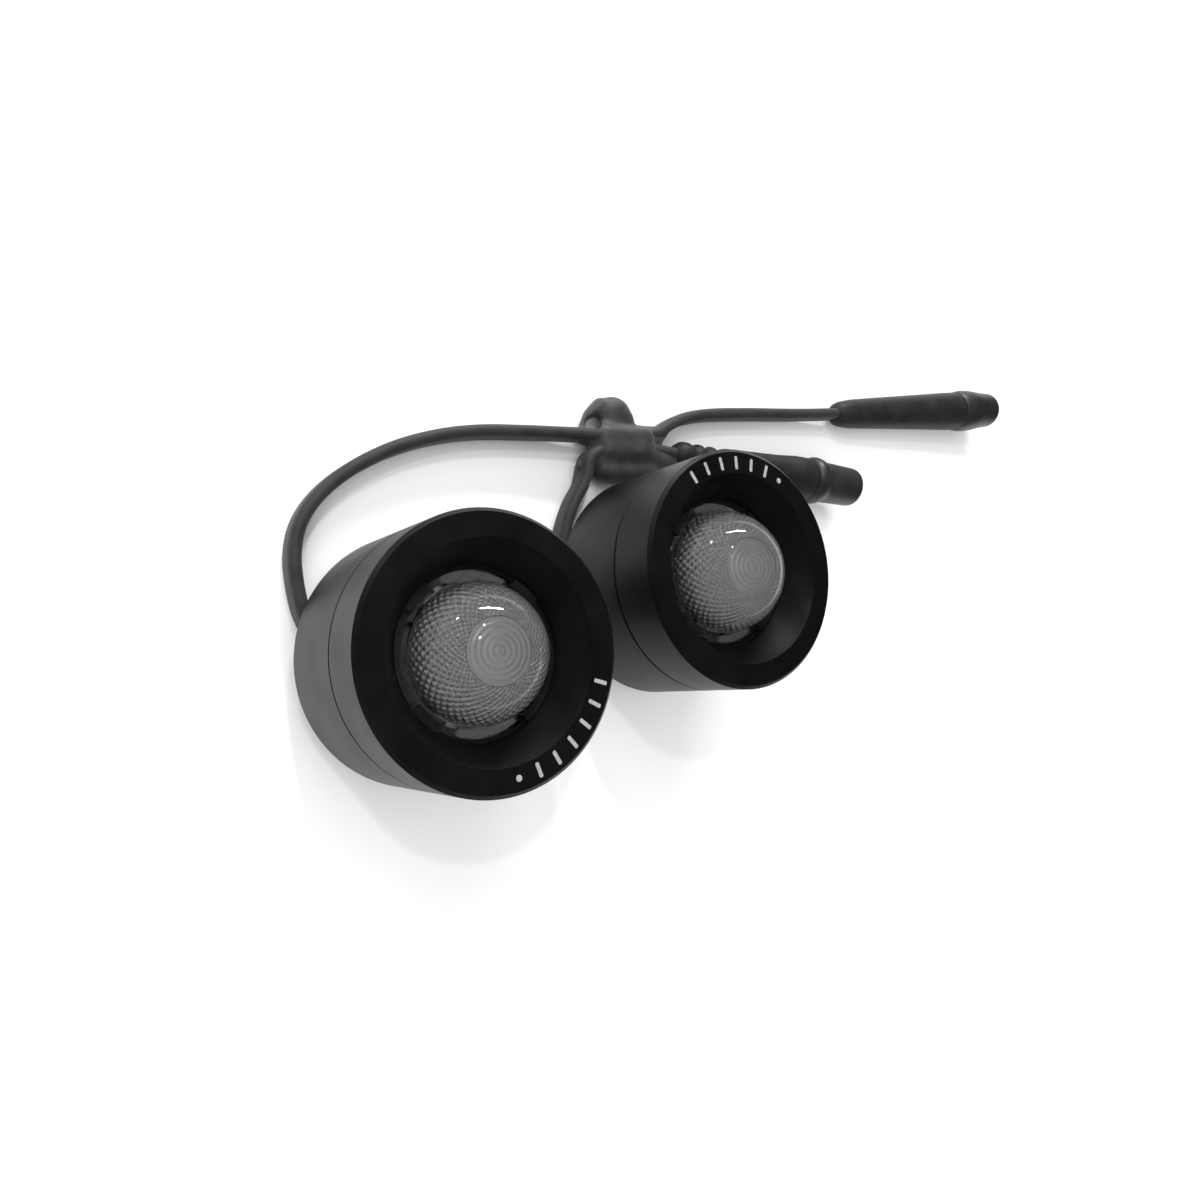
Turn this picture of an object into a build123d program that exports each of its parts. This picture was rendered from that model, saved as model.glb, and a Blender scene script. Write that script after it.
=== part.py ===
from build123d import *
import os
from math import asin, cos, degrees, radians, sin, tan

# A pair of small round LED spot lamps, standing on their backs with their beams along +Z.
# A flat lead leaves the back of each, the two are held together by a rubber tie, and each
# ends in a moulded plug. The origin is on the surface they stand on, midway between them.
# All sizes are in millimetres.

# Lamp, outside
LAMP_SPACING = 51.1
BARREL_WALL = 2.55
BARREL_LENGTH = 27.6
BEZEL_LENGTH = 9.9
FOOT_HEIGHT = 6.0
FRONT_BREAK = 0.6
SEAM_BREAK = 0.25
REAR_BREAK = 0.8

# Bezel, inside
THROAT_MARGIN = 0.6
FUNNEL_FLARE = 3.4
FUNNEL_DEPTH = 5.2
LIP_THICKNESS = 0.7
SKIRT_WALL = 3.4
SKIRT_LENGTH = 6.0

# Lens and what holds it
FLANGE_RADIUS = 12.7
FLANGE_THICKNESS = 1.6
FLANGE_DEPTH = 6.4
DOME_RADIUS = 10.9
DOME_CENTRE_DEPTH = 6.1
LENS_FOOT_RADIUS = 6.2
LENS_DEPTH = 8.2
LED_RECESS_RADIUS = 3.4
LED_RECESS_DEPTH = 3.0
CARRIER_WALL = 2.1
CARRIER_LEDGE = 1.3
CLAW_COUNT = 4
CLAW_ANGLE = 33.0
CLAW_SPAN = 22.0
CLAW_REACH = 1.0
CLAW_HEIGHT = 0.75
LEG_THICKNESS = 1.4
LENS_GASKET_THICKNESS = 0.6
CIRCLIP_THICKNESS = 0.8
CIRCLIP_WIDTH = 1.5
CIRCLIP_BITE = 0.8
CIRCLIP_GAP_ANGLE = 24.0

# Housing
WEB_THICKNESS = 2.5
REAR_CHAMBER_DEPTH = 3.5
REAR_CHAMBER_RADIUS = 14.6
BOARD_POCKET_MARGIN = 1.2
SEAL_GROOVE_WIDTH = 1.2
SEAL_GROOVE_DEPTH = 0.9

# Light engine and driver
PAD_THICKNESS = 0.5
PAD_RADIUS = 15.2
LED_BOARD_THICKNESS = 1.2
EMITTER_SIDE = 5.0
EMITTER_HEIGHT = 0.7
BOARD_SCREW_CIRCLE = 11.0
LED_PIN_CIRCLE = 7.5
LED_PIN_RADIUS = 0.5
INSULATOR_THICKNESS = 0.4
DRIVER_BOARD_THICKNESS = 1.0

# Rear cover: plate, cooling ribs it stands on, and a central boss tapped M6
COVER_RADIUS = 16.5
COVER_THICKNESS = 2.0
COVER_SET_IN = 0.5
RIB_THICKNESS = 1.2
RIB_OFFSETS = (4.9, 7.4)
RIB_CIRCLE_RADIUS = 15.6
BOSS_RADIUS = 5.5
TAPPED_HOLE_RADIUS = 2.5
TAPPED_HOLE_DEPTH = 7.5
BOSS_CAP = 2.0
COVER_SCREW_COUNT = 3
COVER_SCREW_CIRCLE = 12.6
COVER_LUG_RADIUS = 2.4
REAR_SEAL_INSET = 0.5
REAR_SEAL_WIDTH = 1.0
REAR_SEAL_DEPTH = 0.8

# Small screws, the same size all through
SCREW_RADIUS = 1.0
SCREW_HEAD_RADIUS = 1.7
SCREW_HEAD_HEIGHT = 1.2
SCREW_SOCKET_RADIUS = 0.8
SCREW_SOCKET_DEPTH = 0.7
SCREW_BITE = 4.0
BOARD_SCREW_BITE = 1.7

# Lead boot: the rubber elbow through the rear cover, pointing along the exit angle
EXIT_ANGLE = 150.0
BOOT_STUB_CIRCLE = 8.6
BOOT_STUB_RADIUS = 2.6
BOOT_FLANGE_RADIUS = 3.0
BOOT_FLANGE_THICKNESS = 0.8
BOOT_ROOT_WIDTH = 6.2
BOOT_END_RADIUS = 13.0
BOOT_WALL = 0.45

# Leads: flat two-core cable lying on its narrow edge
LEAD_THICKNESS = 2.35
LEAD_WIDTH = 4.8
LEAD_LIFT = 0.05
TIE_RISE = 0.85

# Rubber tie that holds the two leads side by side, with a head and a looped tail
TIE_CENTRE = (29.5, 28.7)
TIE_HEADING = -12.0
TIE_LENGTH = 12.0
TIE_WALL = 0.8
TIE_HEAD_LENGTH = 12.0
TIE_HEAD_WIDTH = 3.6
TIE_HEAD_HEIGHT = 5.6
TIE_LOOP_HEIGHT = 4.6
TIE_EYE_RADIUS = 1.5

# Plugs: rubber grip, hard shell with a collar and a round nose, insert and contacts
GRIP_START_RADIUS = 3.2
GRIP_END_RADIUS = 4.9
COLLAR_RADIUS = 5.6
COLLAR_LENGTH = 3.6
NOSE_RADIUS = 4.6
NOSE_LENGTH = 10.3
NOSE_WALL = 0.9
NOSE_BREAK = 0.4
TAIL_RADIUS = 2.3
TAIL_LENGTH = 14.0
INSERT_LENGTH = 8.0
INSERT_SET_BACK = 0.8
CONTACT_SPACING = 3.0
CONTACT_RADIUS = 0.85
CONTACT_BORE_RADIUS = 0.5
FLEX_RING_PITCH = 3.2
FLEX_RING_HEIGHT = 0.35
PLUG_LIFT = 0.15

# Where each plug's lead end is, which way the plug points on the surface, its grip's length and
# how many flex rings its grip starts with
PLUGS = {
    "left": {"start": (93.2, 25.4), "heading": -8.0, "grip": 44.0, "rings": 0},
    "right": {"start": (41.5, 24.4), "heading": -19.4, "grip": 37.0, "rings": 3},
}

# Route of each lead from its first bend after the boot to the tie: X, Y and the lead's rise
# above where it lies on the surface
LEAD_ROUTES = {
    "left": [
        (-41.3, 12.4, 0),
        (-41.0, 17.2, 0),
        (-40.1, 22.2, 0),
        (-37.6, 27.1, 0),
        (-32.7, 31.2, 0),
        (-25.2, 34.4, 0),
        (-15.4, 36.5, 0),
        (-3.2, 36.6, 0),
        (10.0, 34.2, 0.15),
    ],
    "right": [
        (9.6, 11.5, 0),
        (11.0, 15.2, 0.1),
        (14.5, 19.8, 0.35),
        (18.3, 22.9, 0.55),
    ],
}

# Route of each lead between the tie and its plug, in the same way
LEAD_TAILS = {
    "left": [
        (43.7, 31.0, 0.5),
        (52.0, 31.4, 0.15),
        (64.0, 29.9, 0),
        (79.0, 27.5, 0.1),
    ],
    "right": [],
}
BOOT_RUN = 4.2
TIE_ENTRY_RUN = 2.4
TIE_EXIT_RUN = 1.6
PLUG_APPROACHES = {"left": 7.0, "right": 3.0}

# Fits
RUNNING_CLEARANCE = 0.05
SEAT_CLEARANCE = 0.1
SLIP_CLEARANCE = 0.02
SQUEEZE_CLEARANCE = 0.05
LANE_CLEARANCE = 0.25
PIN_HOLE_CLEARANCE = 0.3
SKIRT_FLOOR_GAP = 0.5
PIN_STAND_OUT = 0.4

# Heights that follow from the sizes above
REAR_Z = FOOT_HEIGHT
FRONT_Z = REAR_Z + BARREL_LENGTH
SEAM_Z = FRONT_Z - BEZEL_LENGTH
FLANGE_TOP_Z = FRONT_Z - FLANGE_DEPTH
FLANGE_LOW_Z = FLANGE_TOP_Z - FLANGE_THICKNESS
LENS_LOW_Z = FLANGE_LOW_Z - LENS_DEPTH
THROAT_Z = FRONT_Z - FUNNEL_DEPTH
LIP_LOW_Z = THROAT_Z - LIP_THICKNESS
CARRIER_TOP_Z = LIP_LOW_Z - LENS_GASKET_THICKNESS
CARRIER_LOW_Z = FLANGE_LOW_Z - CARRIER_LEDGE
CIRCLIP_TOP_Z = CARRIER_LOW_Z - SQUEEZE_CLEARANCE
SKIRT_LOW_Z = SEAM_Z - SKIRT_LENGTH
COVER_LOW_Z = REAR_Z + COVER_SET_IN
COVER_TOP_Z = COVER_LOW_Z + COVER_THICKNESS
WEB_LOW_Z = COVER_TOP_Z + REAR_CHAMBER_DEPTH
WEB_TOP_Z = WEB_LOW_Z + WEB_THICKNESS
LED_BOARD_LOW_Z = WEB_TOP_Z + PAD_THICKNESS
LED_BOARD_TOP_Z = LED_BOARD_LOW_Z + LED_BOARD_THICKNESS
DRIVER_TOP_Z = WEB_LOW_Z - INSULATOR_THICKNESS
DRIVER_LOW_Z = DRIVER_TOP_Z - DRIVER_BOARD_THICKNESS

# Radii and angles that follow from them
CARRIER_BORE = FLANGE_RADIUS + SEAT_CLEARANCE
CARRIER_RADIUS = CARRIER_BORE + CARRIER_WALL
THROAT_RADIUS = FLANGE_RADIUS + THROAT_MARGIN
FACE_INNER_RADIUS = THROAT_RADIUS + FUNNEL_FLARE
BEZEL_BORE = CARRIER_RADIUS + SEAT_CLEARANCE
SKIRT_RADIUS = BEZEL_BORE + SKIRT_WALL
BOARD_POCKET_RADIUS = BEZEL_BORE + BOARD_POCKET_MARGIN
HOUSING_BORE = SKIRT_RADIUS + RUNNING_CLEARANCE
BARREL_RADIUS = HOUSING_BORE + BARREL_WALL
COVER_BORE = COVER_RADIUS + SEAT_CLEARANCE
SEAL_GROOVE_RADIUS = (HOUSING_BORE + BARREL_RADIUS - SEAL_GROOVE_WIDTH) / 2
BOARD_SCREW_ANGLES = (CLAW_ANGLE + 45, CLAW_ANGLE + 225)
LED_PIN_ANGLES = (CLAW_ANGLE + 90, CLAW_ANGLE + 270)
COVER_SCREW_ANGLES = [EXIT_ANGLE + 60 + 360 * i / COVER_SCREW_COUNT for i in range(COVER_SCREW_COUNT)]
LEAD_Z = LEAD_LIFT + LEAD_WIDTH / 2
TIE_LEAD_Z = LEAD_Z + TIE_RISE
OVERCUT = 1.0


def cylinder(radius, low, high, centre=(0, 0)):
    """A solid cylinder along Z between two heights."""
    return Pos(centre[0], centre[1], (low + high) / 2) * Cylinder(radius, high - low)


def ring(outer, inner, low, high):
    """A plain ring about Z between two heights."""
    return cylinder(outer, low, high) - cylinder(inner, low - OVERCUT, high + OVERCUT)


def turned(points):
    """A solid turned about Z from (radius, height) points."""
    return revolve(Plane.XZ * make_face(Polyline(*points, close=True)), axis=Axis.Z)


def polar(radius, angle):
    """The point at a radius and an angle in degrees."""
    return radius * cos(radians(angle)), radius * sin(radians(angle))


def sector(outer, inner, low, high, middle, span):
    """A piece of a ring that spans an angle, for claws, legs and gaps."""
    reach = 2 * outer
    half = radians(span / 2)
    corners = [(0, 0), (reach * cos(half), -reach * sin(half)), (reach * cos(half), reach * sin(half))]
    wedge = extrude(make_face(Polyline(*corners, close=True)), high - low)
    return ring(outer, inner, low, high) & (Rot(0, 0, middle) * Pos(0, 0, low) * wedge)


def claw_angles():
    """The angles of the lens carrier's claws and legs."""
    return [CLAW_ANGLE + 360 * i / CLAW_COUNT for i in range(CLAW_COUNT)]


def make_bezel():
    """Front ring: flat face, funnel down to the lens, threaded skirt and circlip groove."""
    groove_radius = BEZEL_BORE + CIRCLIP_BITE
    groove_high = CIRCLIP_TOP_Z + SQUEEZE_CLEARANCE
    groove_low = CIRCLIP_TOP_Z - CIRCLIP_THICKNESS - SQUEEZE_CLEARANCE
    return turned([
        (FACE_INNER_RADIUS, FRONT_Z),
        (BARREL_RADIUS - FRONT_BREAK, FRONT_Z),
        (BARREL_RADIUS, FRONT_Z - FRONT_BREAK),
        (BARREL_RADIUS, SEAM_Z + SEAM_BREAK),
        (BARREL_RADIUS - SEAM_BREAK, SEAM_Z),
        (SKIRT_RADIUS, SEAM_Z),
        (SKIRT_RADIUS, SKIRT_LOW_Z),
        (BEZEL_BORE, SKIRT_LOW_Z),
        (BEZEL_BORE, groove_low),
        (groove_radius, groove_low),
        (groove_radius, groove_high),
        (BEZEL_BORE, groove_high),
        (BEZEL_BORE, LIP_LOW_Z),
        (THROAT_RADIUS, LIP_LOW_Z),
        (THROAT_RADIUS, THROAT_Z),
    ])


def make_housing():
    """Barrel behind the seam: threaded front, web that takes the heat, chamber for the driver."""
    barrel = turned([
        (0, WEB_LOW_Z),
        (REAR_CHAMBER_RADIUS, WEB_LOW_Z),
        (REAR_CHAMBER_RADIUS, COVER_TOP_Z),
        (COVER_BORE, COVER_TOP_Z),
        (COVER_BORE, REAR_Z),
        (BARREL_RADIUS - REAR_BREAK, REAR_Z),
        (BARREL_RADIUS, REAR_Z + REAR_BREAK),
        (BARREL_RADIUS, SEAM_Z - SEAM_BREAK),
        (BARREL_RADIUS - SEAM_BREAK, SEAM_Z),
        (HOUSING_BORE, SEAM_Z),
        (HOUSING_BORE, SKIRT_LOW_Z - SKIRT_FLOOR_GAP),
        (BOARD_POCKET_RADIUS, SKIRT_LOW_Z - SKIRT_FLOOR_GAP),
        (BOARD_POCKET_RADIUS, WEB_TOP_Z),
        (0, WEB_TOP_Z),
    ])
    lugs = Part() + [
        cylinder(COVER_LUG_RADIUS, COVER_TOP_Z, WEB_LOW_Z + OVERCUT / 2, polar(COVER_SCREW_CIRCLE, angle))
        for angle in COVER_SCREW_ANGLES
    ]
    inside = cylinder(REAR_CHAMBER_RADIUS + OVERCUT / 2, COVER_TOP_Z, WEB_TOP_Z)
    barrel += lugs & inside
    groove_outer = SEAL_GROOVE_RADIUS + SEAL_GROOVE_WIDTH
    barrel -= ring(groove_outer, SEAL_GROOVE_RADIUS, SEAM_Z - SEAL_GROOVE_DEPTH, SEAM_Z + OVERCUT)
    for angle in COVER_SCREW_ANGLES:
        tip = COVER_LOW_Z + COVER_THICKNESS + SCREW_BITE + SEAT_CLEARANCE
        barrel -= cylinder(SCREW_RADIUS + SLIP_CLEARANCE, COVER_TOP_Z - OVERCUT, tip,
                           polar(COVER_SCREW_CIRCLE, angle))
    for angle in BOARD_SCREW_ANGLES:
        tip = WEB_TOP_Z - BOARD_SCREW_BITE - SEAT_CLEARANCE
        barrel -= cylinder(SCREW_RADIUS + SLIP_CLEARANCE, tip, WEB_TOP_Z + OVERCUT,
                           polar(BOARD_SCREW_CIRCLE, angle))
    for angle in LED_PIN_ANGLES:
        barrel -= cylinder(LED_PIN_RADIUS + PIN_HOLE_CLEARANCE, WEB_LOW_Z - OVERCUT, WEB_TOP_Z + OVERCUT,
                           polar(LED_PIN_CIRCLE, angle))
    return barrel


def make_lens():
    """Clear lens: dome, flat flange and a cone that narrows to the emitter."""
    dome_z = FRONT_Z - DOME_CENTRE_DEPTH
    cap = Pos(0, 0, dome_z) * Sphere(DOME_RADIUS)
    cap &= cylinder(2 * DOME_RADIUS, FLANGE_LOW_Z, FLANGE_LOW_Z + 2 * DOME_RADIUS)
    flange = cylinder(FLANGE_RADIUS, FLANGE_LOW_Z, FLANGE_TOP_Z)
    neck = (DOME_RADIUS**2 - (dome_z - FLANGE_LOW_Z) ** 2) ** 0.5
    cone = turned([(0, LENS_LOW_Z), (LENS_FOOT_RADIUS, LENS_LOW_Z), (neck, FLANGE_LOW_Z), (0, FLANGE_LOW_Z)])
    recess = cylinder(LED_RECESS_RADIUS, LENS_LOW_Z - OVERCUT, LENS_LOW_Z + LED_RECESS_DEPTH)
    return cap + flange + cone - recess


def make_lens_carrier():
    """Black ring under the lens flange, with claws over its edge and legs down to the board."""
    ledge_inner = FLANGE_RADIUS - CARRIER_LEDGE
    carrier = ring(CARRIER_RADIUS, CARRIER_BORE, CARRIER_LOW_Z, CARRIER_TOP_Z)
    carrier += ring(CARRIER_BORE + SLIP_CLEARANCE, ledge_inner, CARRIER_LOW_Z, FLANGE_LOW_Z)
    claw_outer = THROAT_RADIUS - SEAT_CLEARANCE
    claw_low = FLANGE_TOP_Z + SQUEEZE_CLEARANCE
    leg_outer = BEZEL_BORE - CIRCLIP_WIDTH + CIRCLIP_BITE - SEAT_CLEARANCE
    for angle in claw_angles():
        carrier += sector(claw_outer, CARRIER_BORE, CARRIER_LOW_Z, claw_low + CLAW_HEIGHT, angle, CLAW_SPAN)
        carrier += sector(claw_outer, FLANGE_RADIUS - CLAW_REACH, claw_low, claw_low + CLAW_HEIGHT,
                          angle, CLAW_SPAN)
        carrier += sector(leg_outer, leg_outer - LEG_THICKNESS, LED_BOARD_TOP_Z, CARRIER_LOW_Z + OVERCUT,
                          angle, CLAW_SPAN)
    return carrier


def make_lens_gasket():
    """Flat ring squeezed between the bezel's lip and the lens carrier."""
    return ring(BEZEL_BORE - SEAT_CLEARANCE, THROAT_RADIUS, CARRIER_TOP_Z, LIP_LOW_Z)


def make_lens_circlip():
    """Open spring ring in the bezel's groove, which keeps the lens carrier in the bezel."""
    outer = BEZEL_BORE + CIRCLIP_BITE - SQUEEZE_CLEARANCE
    low = CIRCLIP_TOP_Z - CIRCLIP_THICKNESS
    clip = ring(outer, outer - CIRCLIP_WIDTH, low, CIRCLIP_TOP_Z)
    return clip - sector(outer + OVERCUT, outer - CIRCLIP_WIDTH - OVERCUT, low - OVERCUT,
                         CIRCLIP_TOP_Z + OVERCUT, CLAW_ANGLE + 45, CIRCLIP_GAP_ANGLE)


def make_body_seal():
    """Ring in the housing's face groove, under the bezel's shoulder."""
    return ring(SEAL_GROOVE_RADIUS + SEAL_GROOVE_WIDTH - SQUEEZE_CLEARANCE,
                SEAL_GROOVE_RADIUS + SQUEEZE_CLEARANCE,
                SEAM_Z - SEAL_GROOVE_DEPTH, SEAM_Z - SQUEEZE_CLEARANCE)


def make_led_board():
    """Metal-core board with its screw and pin holes."""
    board = cylinder(BOARD_POCKET_RADIUS - SEAT_CLEARANCE, LED_BOARD_LOW_Z, LED_BOARD_TOP_Z)
    return board - engine_holes(LED_BOARD_LOW_Z, LED_BOARD_TOP_Z)


def make_thermal_pad():
    """Soft pad that carries the board's heat into the web."""
    pad = cylinder(PAD_RADIUS, WEB_TOP_Z, LED_BOARD_LOW_Z)
    return pad - engine_holes(WEB_TOP_Z, LED_BOARD_LOW_Z)


def engine_holes(low, high):
    """Holes for the board screws and the pins, through anything between two heights."""
    holes = [
        cylinder(SCREW_RADIUS + SEAT_CLEARANCE, low - OVERCUT, high + OVERCUT, polar(BOARD_SCREW_CIRCLE, angle))
        for angle in BOARD_SCREW_ANGLES
    ]
    holes += [
        cylinder(LED_PIN_RADIUS + SLIP_CLEARANCE, low - OVERCUT, high + OVERCUT, polar(LED_PIN_CIRCLE, angle))
        for angle in LED_PIN_ANGLES
    ]
    return Part() + holes


def make_led_emitter():
    """Square chip with its round, slightly raised light-giving face."""
    chip = Pos(0, 0, LED_BOARD_TOP_Z + EMITTER_HEIGHT / 4) * Box(EMITTER_SIDE, EMITTER_SIDE, EMITTER_HEIGHT / 2)
    face = cylinder(EMITTER_SIDE * 0.44, LED_BOARD_TOP_Z, LED_BOARD_TOP_Z + EMITTER_HEIGHT)
    return chip + face


def screw(seat_z, bite, direction, centre):
    """A socket-head screw whose head sits on seat_z and whose shank runs along direction."""
    shank = cylinder(SCREW_RADIUS, 0, bite)
    head = cylinder(SCREW_HEAD_RADIUS, -SCREW_HEAD_HEIGHT, 0)
    socket = Pos(0, 0, -SCREW_HEAD_HEIGHT) * extrude(RegularPolygon(SCREW_SOCKET_RADIUS, 6), SCREW_SOCKET_DEPTH)
    turn = 0 if direction > 0 else 180
    return Pos(centre[0], centre[1], seat_z) * Rot(turn, 0, 0) * (shank + head - socket)


def make_board_screws():
    """Screws that hold the LED board down on the web."""
    bite = LED_BOARD_TOP_Z - WEB_TOP_Z + BOARD_SCREW_BITE
    return [screw(LED_BOARD_TOP_Z, bite, -1, polar(BOARD_SCREW_CIRCLE, angle)) for angle in BOARD_SCREW_ANGLES]


def make_cover_screws():
    """Screws that hold the rear cover against its ledge."""
    bite = COVER_THICKNESS + SCREW_BITE
    return [screw(COVER_LOW_Z, bite, 1, polar(COVER_SCREW_CIRCLE, angle)) for angle in COVER_SCREW_ANGLES]


def make_led_pins():
    """Two pins that carry the current from the driver board to the LED board."""
    low = DRIVER_LOW_Z - PIN_STAND_OUT
    high = LED_BOARD_TOP_Z + PIN_STAND_OUT
    return [cylinder(LED_PIN_RADIUS, low, high, polar(LED_PIN_CIRCLE, angle)) for angle in LED_PIN_ANGLES]


def driver_outline(radius, low, high):
    """A disc with notches for the housing's screw lugs and holes for the pins."""
    disc = cylinder(radius, low, high)
    for angle in COVER_SCREW_ANGLES:
        disc -= cylinder(COVER_LUG_RADIUS + SEAT_CLEARANCE, low - OVERCUT, high + OVERCUT,
                         polar(COVER_SCREW_CIRCLE, angle))
    for angle in LED_PIN_ANGLES:
        disc -= cylinder(LED_PIN_RADIUS + SLIP_CLEARANCE, low - OVERCUT, high + OVERCUT,
                         polar(LED_PIN_CIRCLE, angle))
    return disc


def make_driver_board():
    """Round circuit board under the web."""
    return driver_outline(REAR_CHAMBER_RADIUS - SEAT_CLEARANCE, DRIVER_LOW_Z, DRIVER_TOP_Z)


def make_insulator():
    """Film between the driver board and the metal web."""
    return driver_outline(REAR_CHAMBER_RADIUS - SEAT_CLEARANCE, DRIVER_TOP_Z, WEB_LOW_Z)


def make_driver_parts():
    """Coil, control chip and two capacitors on the driver board's lower face."""
    sizes = [
        (120, 9.6, 4.4, 4.4, 1.7),
        (-120, 9.6, 3.9, 3.0, 1.2),
        (155, 9.0, 2.0, 1.3, 1.0),
        (-155, 9.0, 2.0, 1.3, 1.0),
    ]
    parts = []
    for angle, circle, length, width, height in sizes:
        block = Box(length, width, height)
        place = Rot(0, 0, EXIT_ANGLE + angle) * Pos(circle, 0, DRIVER_LOW_Z - height / 2)
        parts.append(place * block)
    return parts


def make_input_leads():
    """The lead's two cores, from the boot's top to the driver board."""
    half_gap = BOOT_STUB_RADIUS / 3
    low = COVER_TOP_Z + BOOT_FLANGE_THICKNESS
    cores = [cylinder(LED_PIN_RADIUS, low, DRIVER_LOW_Z, (BOOT_STUB_CIRCLE, side * half_gap)) for side in (-1, 1)]
    return [Rot(0, 0, EXIT_ANGLE) * core for core in cores]


def make_rear_cover():
    """Plate with cooling ribs beside the lead's channel and a tapped boss for mounting."""
    plate = cylinder(COVER_RADIUS, COVER_LOW_Z, COVER_TOP_Z)
    ribs = Part()
    for offset in RIB_OFFSETS:
        for side in (-1, 1):
            rib = Pos(0, side * offset, COVER_LOW_Z / 2) * Box(4 * COVER_RADIUS, RIB_THICKNESS, COVER_LOW_Z)
            ribs += rib
    ribs &= cylinder(RIB_CIRCLE_RADIUS, 0, COVER_LOW_Z)
    boss = cylinder(BOSS_RADIUS, 0, TAPPED_HOLE_DEPTH + BOSS_CAP)
    cover = plate + ribs + boss
    cover -= cylinder(TAPPED_HOLE_RADIUS, -OVERCUT, TAPPED_HOLE_DEPTH)
    cover -= cylinder(BOOT_STUB_RADIUS + SLIP_CLEARANCE, COVER_LOW_Z - OVERCUT, COVER_TOP_Z + OVERCUT,
                      (BOOT_STUB_CIRCLE, 0))
    cover = Rot(0, 0, EXIT_ANGLE) * cover
    seal_outer = COVER_RADIUS - REAR_SEAL_INSET
    cover -= ring(seal_outer, seal_outer - REAR_SEAL_WIDTH, COVER_TOP_Z - REAR_SEAL_DEPTH, COVER_TOP_Z + OVERCUT)
    for angle in COVER_SCREW_ANGLES:
        cover -= cylinder(SCREW_RADIUS + SEAT_CLEARANCE, -OVERCUT, COVER_TOP_Z + OVERCUT,
                          polar(COVER_SCREW_CIRCLE, angle))
    return cover


def make_rear_seal():
    """Ring in the rear cover's groove, against the housing's ledge."""
    outer = COVER_RADIUS - REAR_SEAL_INSET - SQUEEZE_CLEARANCE
    inner = COVER_RADIUS - REAR_SEAL_INSET - REAR_SEAL_WIDTH + SQUEEZE_CLEARANCE
    return ring(outer, inner, COVER_TOP_Z - REAR_SEAL_DEPTH, COVER_TOP_Z)


def make_lead_boot():
    """Rubber elbow: a stub through the rear cover and a taper that lets the lead out sideways."""
    end_width = LEAD_THICKNESS + 2 * BOOT_WALL
    end_height = LEAD_Z + LEAD_WIDTH / 2 + LEAD_LIFT
    root_start = BOSS_RADIUS + SEAT_CLEARANCE
    root_end = BOOT_STUB_CIRCLE + BOOT_STUB_RADIUS
    root = Pos((root_start + root_end) / 2, 0, COVER_LOW_Z / 2) * Box(
        root_end - root_start, BOOT_ROOT_WIDTH, COVER_LOW_Z)
    face_in = Plane(origin=(root_end, 0, COVER_LOW_Z / 2), x_dir=(0, 1, 0), z_dir=(1, 0, 0))
    face_out = Plane(origin=(BOOT_END_RADIUS, 0, end_height / 2), x_dir=(0, 1, 0), z_dir=(1, 0, 0))
    taper = loft([face_in * Rectangle(BOOT_ROOT_WIDTH, COVER_LOW_Z), face_out * Rectangle(end_width, end_height)])
    stub = cylinder(BOOT_STUB_RADIUS, COVER_LOW_Z - OVERCUT, COVER_TOP_Z + BOOT_FLANGE_THICKNESS,
                    (BOOT_STUB_CIRCLE, 0))
    flange = cylinder(BOOT_FLANGE_RADIUS, COVER_TOP_Z, COVER_TOP_Z + BOOT_FLANGE_THICKNESS,
                      (BOOT_STUB_CIRCLE, 0))
    return Rot(0, 0, EXIT_ANGLE) * (root + taper + stub + flange)


def plug_frame(side):
    """Where a plug's own frame goes: its lead end at the origin and its nose along +X."""
    plug = PLUGS[side]
    collar_middle = plug["grip"] + COLLAR_LENGTH / 2
    start_z = GRIP_START_RADIUS + PLUG_LIFT
    tilt = degrees(asin((COLLAR_RADIUS + PLUG_LIFT - start_z) / collar_middle))
    x, y = plug["start"]
    return Pos(x, y, start_z) * Rot(0, 0, plug["heading"]) * Rot(0, -tilt, 0)


def along_x(part):
    """Turns a piece made about +Z so that it lies along +X."""
    return Rot(0, 90, 0) * part


def make_plug_grip(side):
    """Tapered rubber grip, with flex rings where the lead enters, moulded on the shell's tail."""
    length = PLUGS[side]["grip"]
    outline = [
        (0, 0),
        (GRIP_START_RADIUS * 0.8, 0),
        (GRIP_START_RADIUS, GRIP_START_RADIUS * 0.6),
    ]
    for i in range(PLUGS[side]["rings"]):
        z = GRIP_START_RADIUS + i * FLEX_RING_PITCH
        outline += [
            (GRIP_START_RADIUS, z),
            (GRIP_START_RADIUS - FLEX_RING_HEIGHT, z + FLEX_RING_PITCH * 0.25),
            (GRIP_START_RADIUS - FLEX_RING_HEIGHT, z + FLEX_RING_PITCH * 0.6),
            (GRIP_START_RADIUS, z + FLEX_RING_PITCH * 0.85),
        ]
    outline += [(GRIP_END_RADIUS, length * 0.93), (GRIP_END_RADIUS, length), (0, length)]
    socket = cylinder(TAIL_RADIUS + SLIP_CLEARANCE, length - TAIL_LENGTH, length + OVERCUT)
    return plug_frame(side) * along_x(turned(outline) - socket)


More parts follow.
